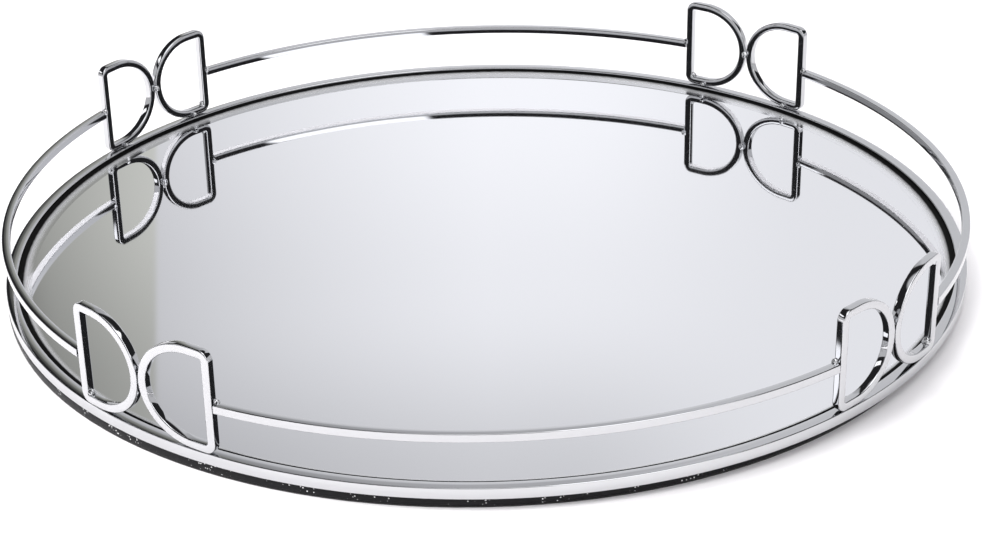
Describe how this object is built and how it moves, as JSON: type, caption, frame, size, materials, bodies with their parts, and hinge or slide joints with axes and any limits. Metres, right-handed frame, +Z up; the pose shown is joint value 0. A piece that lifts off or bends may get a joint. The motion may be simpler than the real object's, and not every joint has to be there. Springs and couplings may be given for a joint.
{
  "type": "mirrored vanity tray",
  "caption": "Round mirrored vanity tray with a chrome gallery rail carried on pairs of D-shaped loops.",
  "frame": {"origin": "on the tray's axis, on the plane that the felt pad stands on", "axes": "+Z up out of the mirror; -Y to the front, where the long front rail runs between two pairs of loops; +X to the right seen from the front"},
  "size_m": [0.355, 0.355, 0.0453],
  "materials": {
    "chrome_bar": "polished plate on square steel bar",
    "chrome_weld": "plated over small uneven weld beads",
    "silvered_glass": "clear glass, silvered on its back",
    "black_board": "black painted fibreboard, satin",
    "black_felt": "thin flocked felt"
  },
  "bodies": {
    "root": {"felt_pad": "black_felt", "base_board": "black_board", "mirror_glass": "silvered_glass", "base_ring": "chrome_bar", "loop_front_left_1": "chrome_bar", "loop_front_left_2": "chrome_bar", "loop_front_right_1": "chrome_bar", "loop_front_right_2": "chrome_bar", "loop_back_right_1": "chrome_bar", "loop_back_right_2": "chrome_bar", "loop_back_left_1": "chrome_bar", "loop_back_left_2": "chrome_bar", "rail_front": "chrome_bar", "rail_right": "chrome_bar", "rail_back": "chrome_bar", "rail_left": "chrome_bar", "foot_weld_front_left_1": "chrome_weld", "foot_weld_front_left_2": "chrome_weld", "foot_weld_front_right_1": "chrome_weld", "foot_weld_front_right_2": "chrome_weld", "foot_weld_back_right_1": "chrome_weld", "foot_weld_back_right_2": "chrome_weld", "foot_weld_back_left_1": "chrome_weld", "foot_weld_back_left_2": "chrome_weld", "rail_weld_front_left_1": "chrome_weld", "rail_weld_front_left_2": "chrome_weld", "rail_weld_front_right_1": "chrome_weld", "rail_weld_front_right_2": "chrome_weld", "rail_weld_back_right_1": "chrome_weld", "rail_weld_back_right_2": "chrome_weld", "rail_weld_back_left_1": "chrome_weld", "rail_weld_back_left_2": "chrome_weld", "belly_weld_front_left": "chrome_weld", "belly_weld_front_right": "chrome_weld", "belly_weld_back_right": "chrome_weld", "belly_weld_back_left": "chrome_weld"}
  },
  "joints": []
}
